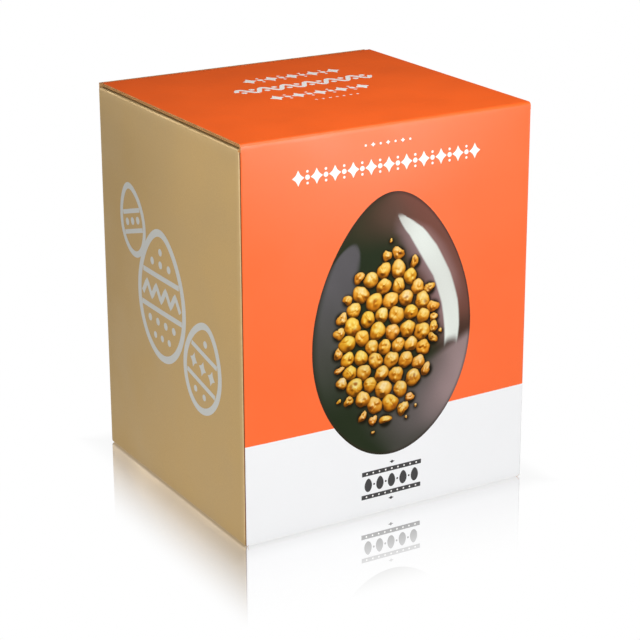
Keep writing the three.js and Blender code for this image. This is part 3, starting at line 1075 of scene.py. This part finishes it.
KX, KZ, KR, KIND, KSPIN = settle(5125, 48, 22, 6)

DARK, TOPC, WARM = lin(37, 46, 28), lin(98, 68, 57), lin(114, 72, 62)
MAUVE, FOOT = lin(156, 134, 134), lin(92, 86, 84)
SKY, SKY2, WINDOW = lin(92, 89, 92), lin(74, 74, 68), lin(224, 229, 222)

# The window's reflection on the egg: its two edges, across, at heights q.
WIN_Q = [-0.25, -0.10, 0.10, 0.32, 0.55, 0.66, 0.70, 0.76, 0.80, 0.84]
WIN_IN = [0.670, 0.655, 0.625, 0.555, 0.385, 0.295, 0.235, 0.165, 0.125, 0.100]
WIN_OUT = [0.835, 0.850, 0.845, 0.805, 0.720, 0.632, 0.585, 0.440, 0.310, 0.170]


def paint_egg(x, z):
    q = np.clip((z - EGG_Z) / EGG_H, -1, 1)
    p = (x - EGG_X) / np.maximum(egg_half(q), 1e-6)
    c = np.broadcast_to(DARK, (len(x), 3)).copy()
    c = mix(c, TOPC, smooth(0.55, 0.95, q) * smooth(-1.5, 0.2, p) * 0.95)
    c = mix(c, WARM, smooth(-0.05, 0.80, p) * smooth(-0.34, 0.10, q))
    c = mix(c, FOOT, smooth(-0.70, 0.42, p) * smooth(-0.28, -0.60, q) * (1 - smooth(-0.74, -0.98, q) * 0.5))
    # below the window's foot the right side is lit by the pale table
    foot = smooth(-0.20, -0.30, q - 0.30 * (p - 0.7))
    c = mix(c, MAUVE, smooth(0.25, 0.95, p) * foot * (1 - smooth(-0.55, -0.92, q)) * 0.9)
    c = mix(c, lin(66, 44, 38), smooth(0.45, 0.80, p) * smooth(0.02, -0.14, q) * (1 - foot) * 0.6)
    # wide dim reflection down the left side, with a rounded head
    head = np.hypot((p + 0.76) / 0.25, np.maximum(q - 0.42, 0) / 0.24)
    left = smooth(-0.47, -0.58, p + 0.05 * q) * smooth(1.06, 0.92, head) * smooth(-0.66, -0.02, q)
    left *= 1 - 0.6 * smooth(-0.91, -1.0, p)
    c = mix(c, mix(SKY2, SKY, smooth(-0.2, 0.5, q)), left * 0.95)
    # bright window reflection that follows the right side
    inner = np.interp(q, WIN_Q, WIN_IN)
    outer = np.interp(q, WIN_Q, WIN_OUT)
    mid, wide = (inner + outer) / 2, (outer - inner) / 2
    off = (p - mid) / wide
    corner = smooth(-0.23, -0.15, q + 0.035 * off ** 4)
    band = smooth(1.10, 0.86, np.abs(off)) * smooth(0.838, 0.79, q) * corner
    band *= 0.94 + 0.06 * np.cos(9 * q + 1.0)
    glow = smooth(-2.8, -0.9, off) * smooth(1.0, 0.4, off) * smooth(0.88, 0.62, q) * smooth(-0.30, 0.10, q)
    c = mix(c, lin(148, 122, 124), glow * 0.80)
    outside = smooth(2.3, 1.0, off) * smooth(0.6, 1.0, off) * smooth(0.86, 0.62, q) * smooth(0.0, 0.35, q)
    c = mix(c, lin(160, 128, 126), outside * 0.5)
    c = mix(c, WINDOW, band)
    # a faint sheen near the crown, and fine dust of cocoa butter
    crown = np.exp(-((p - 0.05) / 0.35) ** 2 - ((q - 0.80) / 0.13) ** 2)
    c = mix(c, lin(120, 92, 84), crown * 0.2)
    # thin dark rim
    edge = 1 - np.hypot((x - EGG_X) / np.maximum(egg_half(q), 1e-6) * np.sqrt(np.clip(1 - q * q, 0, 1)), q)
    c = mix(c, lin(52, 40, 34), smooth(0.035, 0.0, edge) * 0.6)
    # soft shade under and round the nuts
    near = np.full(len(x), 99.0)
    for nx, nz, r in zip(KX, KZ, KR):
        near = np.minimum(near, np.hypot(x - nx - 0.2, z - nz + 0.7) - r)
    c = mix(c, lin(34, 32, 14), smooth(2.4, -0.4, near) * 0.72)
    c = mix(c, lin(18, 14, 4), smooth(1.0, -0.8, near) * 0.85)
    soft = 1 + 0.035 * np.sin(x * 0.11 + 1.3) * np.sin(z * 0.083) + 0.02 * np.sin(x * 0.31 + z * 0.17)
    return np.clip(c * soft[:, None], 0, 1)


bag = Bag()
RINGS, ROUND = 120, 260
th = np.linspace(0, 2 * math.pi, ROUND, endpoint=False)
qs = np.sin(th)
rim_pts = np.stack([EGG_X + np.cos(th) * EGG_A * (1 - 0.11 * (qs + qs * qs)), EGG_Z + EGG_H * qs], 1)
pts, faces, rim = blob(rim_pts, RINGS, centre=(EGG_X, EGG_Z))
ink(bag, on_front, pts, faces, rim, lift=0.035, paint=paint_egg(pts[:, 0], pts[:, 1]))
pieces.append(bag.object("print_egg", [picture], painted=True))

# Each nut is a small lumpy dome in paint only, lit from above.
LIGHT = np.array([0.14, 0.52, 0.84])
LIGHT /= np.linalg.norm(LIGHT)
NUT_DEEP, NUT_SHADE, NUT_MID = lin(100, 56, 4), lin(196, 120, 22), lin(236, 172, 58)
NUT_LIGHT, NUT_GLOSS, ROAST = lin(252, 218, 128), lin(255, 240, 196), lin(168, 88, 24)


def nut_relief(x, y, lumps, grooves):
    """Height of a kernel over its outline: a dome, some lumps, fine grooves."""
    h = 0.86 * np.sqrt(np.clip(1 - 0.97 * (x * x + y * y), 0.012, 1))
    for cx, cy, high, wide in lumps:
        h = h + high * np.exp(-((x - cx) ** 2 + (y - cy) ** 2) / wide ** 2)
    for cx, cy, ang, deep, wide, bend in grooves:
        u = (x - cx) * math.cos(ang) + (y - cy) * math.sin(ang)
        v = -(x - cx) * math.sin(ang) + (y - cy) * math.cos(ang) - bend * u * u
        h = h - deep * np.exp(-(v / wide) ** 2) * smooth(-0.10, 0.12, u)
    return h


def paint_nut(local, seed, kind):
    """local is the place on the nut, 1 at its rim."""
    r = np.random.default_rng(seed)
    x, y = local[:, 0], local[:, 1]
    rho = np.clip(np.hypot(x, y), 0, 1.1)
    lumps, grooves = [], []
    for _ in range(r.integers(4, 8)):
        a, d = r.uniform(0, 2 * math.pi), r.uniform(0.25, 0.75)
        lumps.append((d * math.cos(a), d * math.sin(a), r.uniform(0.10, 0.26) * (1.5 if kind else 1.0), r.uniform(0.20, 0.38)))
    tip = r.uniform(-0.22, 0.22, 2)
    a0 = r.uniform(0, 2 * math.pi)
    for k in range(r.integers(2, 5)):
        grooves.append((tip[0], tip[1], a0 + k * 1.5 + r.uniform(-0.4, 0.4), r.uniform(0.01, 0.05), r.uniform(0.06, 0.12),
                        r.uniform(-0.5, 0.5)))
    e = 0.03
    gx = (nut_relief(x + e, y, lumps, grooves) - nut_relief(x - e, y, lumps, grooves)) / (2 * e)
    gy = (nut_relief(x, y + e, lumps, grooves) - nut_relief(x, y - e, lumps, grooves)) / (2 * e)
    norm = np.sqrt(gx ** 2 + gy ** 2 + 1)
    lam = np.clip((-gx * LIGHT[0] - gy * LIGHT[1] + LIGHT[2]) / norm, 0, 1)
    c = mix(NUT_DEEP, NUT_SHADE, smooth(0.0, 0.40, lam))
    c = mix(c, NUT_MID, smooth(0.30, 0.74, lam))
    c = mix(c, NUT_LIGHT, smooth(0.66, 0.93, lam) * 0.95)
    c = mix(c, NUT_GLOSS, smooth(0.92, 1.0, lam) * 0.55)
    c = mix(c, NUT_DEEP, smooth(0.82, 1.04, rho) * smooth(1.0, 0.5, lam) * 0.6)
    spots = 0
    chance = r.uniform()
    if chance < 0.20:
        spots = 3 if chance < 0.05 else 1
    for _ in range(spots):
        cx, cy = r.uniform(-0.45, 0.45, 2)
        w1, w2 = r.uniform(0.14, 0.34, 2)
        d = np.hypot((x - cx) / w1, (y - cy) / w2) + 0.3 * np.sin(8 * x + 3) * np.sin(7 * y)
        c = mix(c, ROAST, smooth(1.3, 0.3, d) * 0.7)
    # uneven skin: paler and browner flecks
    fleck = np.sin(9.0 * x + 4.0 * y + r.uniform(0, 6)) * np.sin(8.0 * y - 5.0 * x + r.uniform(0, 6))
    c = c * (1 + fleck[:, None] * np.array([0.05, 0.08, 0.16]))
    tone = np.array([r.uniform(0.91, 0.98), r.uniform(0.85, 0.95), r.uniform(0.52, 0.92)])
    if kind:
        tone = tone * np.array([0.98, 0.97, 1.15])
    return np.clip(c * tone, 0, 1)


bag = Bag()
order = sorted(range(len(KX)), key=lambda k: (-KIND[k], -KZ[k]))
for rank, k in enumerate(order):
    r = np.random.default_rng(900 + k)
    kind = int(KIND[k])
    n = (42, 20, 12)[kind]
    rings = (14, 8, 5)[kind]
    a = np.linspace(0, 2 * math.pi, n, endpoint=False)
    if kind == 0:
        lump = 0.985 + r.uniform(0.02, 0.08) * np.cos(2 * a + r.uniform(0, 6)) + r.uniform(0.02, 0.06) * np.cos(3 * a + r.uniform(0, 6)) \
            + r.uniform(0.01, 0.045) * np.cos(5 * a + r.uniform(0, 6)) + r.uniform(0.0, 0.03) * np.cos(7 * a + r.uniform(0, 6))
        lump = lump + 0.09 * np.exp(-(np.angle(np.exp(1j * (a - r.uniform(0, 6)))) / 0.28) ** 2) * (r.uniform() < 0.4)
        aspect = r.uniform(0.88, 1.0)
    else:
        lump = 1 + 0.16 * np.cos(2 * a + r.uniform(0, 6)) + 0.12 * np.cos(3 * a + r.uniform(0, 6)) \
            + r.uniform(-0.07, 0.07, n)
        aspect = r.uniform(0.62, 0.92)
    lx, ly = np.cos(a) * lump, np.sin(a) * lump * aspect
    size, spin = KR[k], KSPIN[k]
    o = np.stack([KX[k] + size * (lx * math.cos(spin) - ly * math.sin(spin)),
                  KZ[k] + size * (lx * math.sin(spin) + ly * math.cos(spin))], 1)
    pts, faces, rim = blob(o, rings, centre=(KX[k], KZ[k]))
    # place on the nut: direction from its middle, and 1 all along its outline
    way = (o - [KX[k], KZ[k]]) / np.linalg.norm(o - [KX[k], KZ[k]], axis=1)[:, None]
    ring = np.repeat(np.arange(1, rings + 1) / rings, n)[:, None]
    local = np.concatenate([[[0.0, 0.0]], ring * np.tile(way, (rings, 1))])
    ink(bag, on_front, pts, faces, rim, lift=0.048 + 0.0004 * rank, sink=0.2,
        paint=paint_nut(local, 3000 + k, kind) * (1 - 0.09 * float(smooth(140.0, 100.0, KZ[k]))))
pieces.append(bag.object("print_hazelnuts", [picture], painted=True))

# Ornament bands in plain traditional motifs.
bag = Bag()
bead_band(bag, on_front, -2.5, 243.0, 147.0, 10.5, 11)
for k in range(7):
    if k % 2:
        ink(bag, on_front, *blob(lozenge(-3.0 + (k - 3) * 5.6, 257.6, 3.4, 3.0)))
    else:
        ink(bag, on_front, *blob(ellipse(-3.0 + (k - 3) * 5.6, 257.6, 0.8, 0.8, 14)))
for z in (14.4, 31.4):
    for k in range(9):
        ink(bag, on_front, *blob(ellipse(1.5 + (k - 4) * 4.9, z, 0.62, 0.62, 12)), lift=0.07)
pieces.append(bag.object("print_front_band", [ornament_white]))


def egg_shape(cx, cz, a_, h_, n=30):
    th = np.linspace(0, 2 * math.pi, n, endpoint=False)
    q = np.sin(th)
    return np.stack([cx + np.cos(th) * a_ * (1 - 0.11 * (q + q * q)), cz + h_ * q], 1)


bag = Bag()
for z in (14.4, 31.4):
    xs = np.linspace(-22, 25, 14)
    ribbon(bag, on_front, np.stack([xs, np.full(14, z)], 1), 3.2)
for k in range(5):
    ink(bag, on_front, *blob(egg_shape(1.5 + (k - 2) * 9.2, 22.9, 2.9, 4.9)))
    if k < 4:
        ink(bag, on_front, *blob(ellipse(1.5 + (k - 1.5) * 9.2, 22.9, 0.75, 0.75, 12)))
for z in (36.4, 9.6):
    ink(bag, on_front, *blob(lozenge(1.5, z, 4.4, 2.6)))
pieces.append(bag.object("print_foot_mark", [dark_print]))

bag = Bag()
bead_band(bag, on_lid, 14.0, 49.0, 84.0, 14.0, 5)
wave_band(bag, on_lid, 9.0, 23.0, 106.0, 5.6, 6, 3.4)
bead_band(bag, on_lid, 6.0, -3.5, 84.0, 14.0, 5)
for k in range(7):
    ink(bag, on_lid, *blob(ellipse(9.0 + (k - 3) * 5.4, -21.0, 1.0, 1.0, 14)))
pieces.append(bag.object("print_lid_bands", [ornament_white]))


def tilted(where, cx, cz, angle):
    def at(a, b, lift):
        a, b = np.asarray(a, float), np.asarray(b, float)
        return where(cx + a * math.cos(angle) - b * math.sin(angle), cz + a * math.sin(angle) + b * math.cos(angle), lift)
    return at


def decorated_egg(bag, where, a_, h_, stroke, style):
    """An outlined egg with plain bands across it, centred on where's zero."""
    ribbon(bag, where, egg_shape(0, 0, a_, h_, 110), stroke, closed=True)

    def half(z):
        q = z / h_
        return a_ * math.sqrt(max(1 - q * q, 0)) * (1 - 0.11 * (q + q * q)) - stroke * 0.5

    def rule(z, width):
        w_ = min(half(z + width), half(z - width)) + 0.4
        xs = np.linspace(-w_, w_, 20)
        ribbon(bag, where, np.stack([xs, np.full(20, z)], 1), width, lift=0.045)

    def dots(z, n, r, spread):
        for k in range(n):
            x = 0 if n == 1 else -spread + 2 * spread * k / (n - 1)
            ink(bag, where, *blob(ellipse(x, z, r, r, 18)))

    if style == 0:
        w_ = half(0) - stroke * 0.5
        zigzag_band(bag, where, 0, 1.0, 2 * w_, h_ * 0.22, 4, stroke * 0.78)
        rule(h_ * 0.30, stroke * 0.72)
        rule(-h_ * 0.25, stroke * 0.72)
        dots(h_ * 0.50, 3, stroke * 0.52, half(h_ * 0.5) * 0.52)
        dots(h_ * 0.70, 1, stroke * 0.50, 0)
        dots(-h_ * 0.44, 4, stroke * 0.52, half(-h_ * 0.5) * 0.66)
        dots(-h_ * 0.68, 3, stroke * 0.46, half(-h_ * 0.7) * 0.48)
    elif style == 1:
        for z in (h_ * 0.26, -h_ * 0.32):
            rule(z, stroke * 0.72)
        dots(-h_ * 0.03, 3, stroke * 0.62, half(0) * 0.56)
    else:
        for z in (h_ * 0.34, -h_ * 0.36):
            rule(z, stroke * 0.72)
        for k in range(3):
            ink(bag, where, *blob(lozenge((k - 1) * half(0) * 0.58, -h_ * 0.01, half(0) * 0.46, h_ * 0.36)))
        dots(h_ * 0.60, 1, stroke * 0.52, 0)
        dots(-h_ * 0.62, 2, stroke * 0.48, half(-h_ * 0.6) * 0.36)


def side_ornament(name, where):
    """Three outlined eggs on a falling line, in silver."""
    bag = Bag()
    decorated_egg(bag, tilted(where, -52.0, 183.0, math.radians(16)), 18.0, 24.0, 4.4, 1)
    decorated_egg(bag, tilted(where, -9.0, 140.0, 0.0), 33.5, 44.5, 5.2, 0)
    decorated_egg(bag, tilted(where, 49.0, 107.0, math.radians(-14)), 23.5, 31.0, 4.8, 2)
    return bag.object(name, [silver])


pieces.append(side_ornament("print_side_left", on_left))
pieces.append(side_ornament("print_side_right", on_right))

bag = Bag()
bead_band(bag, on_back, 0.0, 243.0, 147.0, 10.5, 11)
for k in range(7):
    ink(bag, on_back, *blob(ellipse((k - 3) * 5.6, 257.6, 0.8, 0.8, 14)))
pieces.append(bag.object("print_back_band", [ornament_white]))

for ob in pieces:
    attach(ob, "root")


# -------------------------------------------------------------------- stage
def pale_floor():
    size = 6.0
    me = bpy.data.meshes.new("floor")
    me.from_pydata([(-size, -size, -0.0002), (size, -size, -0.0002), (size, size, -0.0002), (-size, size, -0.0002)],
                   [], [(0, 1, 2, 3)])
    ob = bpy.data.objects.new("floor", me)
    bpy.context.scene.collection.objects.link(ob)
    m = bpy.data.materials.new("pale_gloss_floor")
    m.use_nodes = True
    nt = m.node_tree
    nt.nodes.clear()
    link = nt.links.new
    out = nt.nodes.new("ShaderNodeOutputMaterial")
    diff = nt.nodes.new("ShaderNodeBsdfDiffuse")
    diff.inputs["Color"].default_value = (0.12, 0.12, 0.12, 1)
    glow = nt.nodes.new("ShaderNodeEmission")
    glow.inputs["Color"].default_value = (1, 1, 1, 1)
    add = nt.nodes.new("ShaderNodeAddShader")
    link(diff.outputs[0], add.inputs[0])
    link(glow.outputs[0], add.inputs[1])
    seen_glow = nt.nodes.new("ShaderNodeEmission")
    seen_glow.inputs["Color"].default_value = (1, 1, 1, 1)
    gloss = nt.nodes.new("ShaderNodeBsdfGlossy")
    gloss.inputs["Roughness"].default_value = 0.0
    gloss.inputs["Color"].default_value = (1, 1, 1, 1)
    mixs = nt.nodes.new("ShaderNodeMixShader")
    # polish that fades out away from the carton
    tc = nt.nodes.new("ShaderNodeTexCoord")
    sep = nt.nodes.new("ShaderNodeSeparateXYZ")
    link(tc.outputs["Object"], sep.inputs[0])

    def size_of(axis):
        ab = nt.nodes.new("ShaderNodeMath"); ab.operation = "ABSOLUTE"
        link(sep.outputs[axis], ab.inputs[0])
        return ab.outputs[0]

    def eased(socket, near, far, at_near, at_far):
        r = ramp(nt, at_near, at_far, near, far)
        r.interpolation_type = "SMOOTHSTEP"
        link(socket, r.inputs["Value"])
        return r.outputs["Result"]

    def joined(operation, a, b):
        n = nt.nodes.new("ShaderNodeMath"); n.operation = operation
        for socket, value in zip(n.inputs, (a, b)):
            if isinstance(value, float):
                socket.default_value = value
            else:
                link(value, socket)
        return n.outputs[0]

    across, deep = size_of("X"), size_of("Y")
    amount = joined("MINIMUM", eased(across, 0.111, 0.165, 0.71, 0.0), eased(deep, 0.104, 0.202, 0.80, 0.0))
    # how far outside the carton's foot a spot lies
    clear = joined("MAXIMUM", joined("SUBTRACT", across, 0.111), joined("SUBTRACT", deep, 0.104))
    # painted shade, darker still in the narrow gap under the folds of the two sides
    gap = joined("MAXIMUM", joined("SUBTRACT", across, 0.111), joined("MULTIPLY", joined("SUBTRACT", deep, 0.1005), 10.0))
    # what the eye sees of the floor: white, with a painted contact shade round the carton's foot
    link(joined("MULTIPLY", eased(clear, 0.0, 0.022, 0.80, 1.0), eased(gap, -0.0018, 0.0008, 0.35, 1.0)),
         seen_glow.inputs["Strength"])
    # the floor's glow that lights the carton is dimmed near its foot: a painted contact shade in the floor's light
    link(eased(clear, -0.003, 0.010, 0.77, 0.985), glow.inputs["Strength"])
    # the polish and the painted contact shade that the eye sees are for the eye
    # only: they throw neither glints nor that shade back on the carton
    rays = nt.nodes.new("ShaderNodeLightPath")
    base = nt.nodes.new("ShaderNodeMixShader")
    link(rays.outputs["Is Camera Ray"], base.inputs["Fac"])
    link(add.outputs[0], base.inputs[1])
    link(seen_glow.outputs[0], base.inputs[2])
    link(joined("MULTIPLY", amount, rays.outputs["Is Camera Ray"]), mixs.inputs["Fac"])
    link(base.outputs[0], mixs.inputs[1])
    link(gloss.outputs[0], mixs.inputs[2])
    link(mixs.outputs[0], out.inputs["Surface"])
    me.materials.append(m)
    return ob


pale_floor()


def black_flag():
    """Keeps some of the floor's light off the far half of the left side."""
    me = bpy.data.meshes.new("black_flag")
    me.from_pydata([(-0.45, 0.17, 0.001), (-0.08, 0.17, 0.001), (-0.08, 0.17, 0.26), (-0.45, 0.17, 0.26)], [], [(0, 1, 2, 3)])
    ob = bpy.data.objects.new("black_flag", me)
    bpy.context.scene.collection.objects.link(ob)
    m = bpy.data.materials.new("black_flag")
    m.use_nodes = True
    bsdf = m.node_tree.nodes["Principled BSDF"]
    bsdf.inputs["Base Color"].default_value = (0.0, 0.0, 0.0, 1)
    bsdf.inputs["Specular IOR Level"].default_value = 0.0
    me.materials.append(m)
    ob.visible_camera = False
    ob.visible_glossy = False
    ob.visible_transmission = False


black_flag()


def look_at(ob, target):
    d = Vector(target) - ob.location
    ob.rotation_euler = d.to_track_quat("-Z", "Y").to_euler()


def softbox(name, place, target, size, power, colour=(1, 1, 1)):
    li = bpy.data.lights.new(name, "AREA")
    li.shape = "RECTANGLE"
    li.size, li.size_y = size
    li.energy = power
    li.color = colour
    ob = bpy.data.objects.new(name, li)
    ob.location = place
    bpy.context.scene.collection.objects.link(ob)
    look_at(ob, target)
    return ob


def gloss_only(light):
    """The light shows only as gloss."""
    light.visible_diffuse = False


softbox("top", (0.02, -0.22, 0.68), (0.03, -0.05, 0.27), (0.5, 0.4), 2.6)
softbox("front_left", (-1.0, -2.3, 0.50), (0.0, 0.0, 0.13), (1.2, 0.9), 19.5, (1.0, 0.995, 0.985))
# A low strip and a tall one for the top of the front and its fold, then two
# for the folds along the carton's left side.
gloss_only(softbox("sheen", (0.31, -0.80, 0.165), (-0.06, -0.103, 0.262), (0.34, 0.10), 2.0))
gloss_only(softbox("sheen_above", (0.31, -0.80, 0.48), (-0.06, -0.103, 0.268), (0.34, 0.36), 4.5))
gloss_only(softbox("back_left", (-1.0, 1.74, 0.57), (-0.11, 0.0, 0.262), (0.8, 0.4), 7.2))
gloss_only(softbox("left", (-1.5, 0.55, 0.14), (-0.11, -0.1, 0.14), (0.4, 0.26), 8.0))
# Keeps the back and the right side, which the camera doesn't see, from going dark.
fill = softbox("back_right", (1.5, 1.8, 0.10), (0.0, 0.0, 0.13), (1.6, 0.2), 16.0)
fill.visible_glossy = False

world = bpy.data.worlds.new("studio")
bpy.context.scene.world = world
world.use_nodes = True
nt = world.node_tree
nt.nodes.clear()
link = nt.links.new
out = nt.nodes.new("ShaderNodeOutputWorld")
seen = nt.nodes.new("ShaderNodeBackground")
seen.inputs["Color"].default_value = (1, 1, 1, 1)
seen.inputs["Strength"].default_value = 1.0
lit = nt.nodes.new("ShaderNodeBackground")
tc = nt.nodes.new("ShaderNodeTexCoord")
sep = nt.nodes.new("ShaderNodeSeparateXYZ")
link(tc.outputs["Generated"], sep.inputs[0])
# bright in front of the carton, dark behind it
sky = ramp(nt, 0.34, 0.04, -0.9, 0.35)
link(sep.outputs["Y"], sky.inputs["Value"])
link(sky.outputs["Result"], lit.inputs["Strength"])
# white for the eye, and for what the floor's polish mirrors of the empty room
path = nt.nodes.new("ShaderNodeLightPath")
either = nt.nodes.new("ShaderNodeMath")
either.operation = "MAXIMUM"
link(path.outputs["Is Camera Ray"], either.inputs[0])
link(path.outputs["Is Singular Ray"], either.inputs[1])
pick_ = nt.nodes.new("ShaderNodeMixShader")
link(either.outputs[0], pick_.inputs["Fac"])
link(lit.outputs[0], pick_.inputs[1])
link(seen.outputs[0], pick_.inputs[2])
link(pick_.outputs[0], out.inputs["Surface"])

# ------------------------------------------------------------------- camera
# Fitted to the carton's corners: eye, turn, tilt and roll in the row frame.
EYE = np.array([-2.0431 * HEIGHT - X, -3.8031 * HEIGHT - Y, 2.1101 * HEIGHT]) * 0.001
YAW, PITCH, ROLL, FOCAL_PX = math.radians(30.638), math.radians(17.662), math.radians(-0.183), 1973.9
fwd = Vector((math.sin(YAW) * math.cos(PITCH), math.cos(YAW) * math.cos(PITCH), -math.sin(PITCH)))
right = Vector((math.cos(YAW), -math.sin(YAW), 0.0))
up = right.cross(fwd)
r2 = right * math.cos(ROLL) + up * math.sin(ROLL)
u2 = up * math.cos(ROLL) - right * math.sin(ROLL)
cam = bpy.data.cameras.new("camera")
cam.sensor_fit = "HORIZONTAL"
cam.sensor_width = 36.0
cam.lens = FOCAL_PX / 640.0 * 36.0
cam.shift_x = 0.0
cam.shift_y = -0.1
cam.clip_start = 0.05
cam.clip_end = 50.0
cam_ob = bpy.data.objects.new("camera", cam)
m4 = Matrix((
    (r2.x, u2.x, -fwd.x, EYE[0]),
    (r2.y, u2.y, -fwd.y, EYE[1]),
    (r2.z, u2.z, -fwd.z, EYE[2]),
    (0, 0, 0, 1),
))
cam_ob.matrix_world = m4
bpy.context.scene.collection.objects.link(cam_ob)
bpy.context.scene.camera = cam_ob
bpy.context.scene.view_settings.view_transform = "Standard"
bpy.context.scene.view_settings.look = "None"
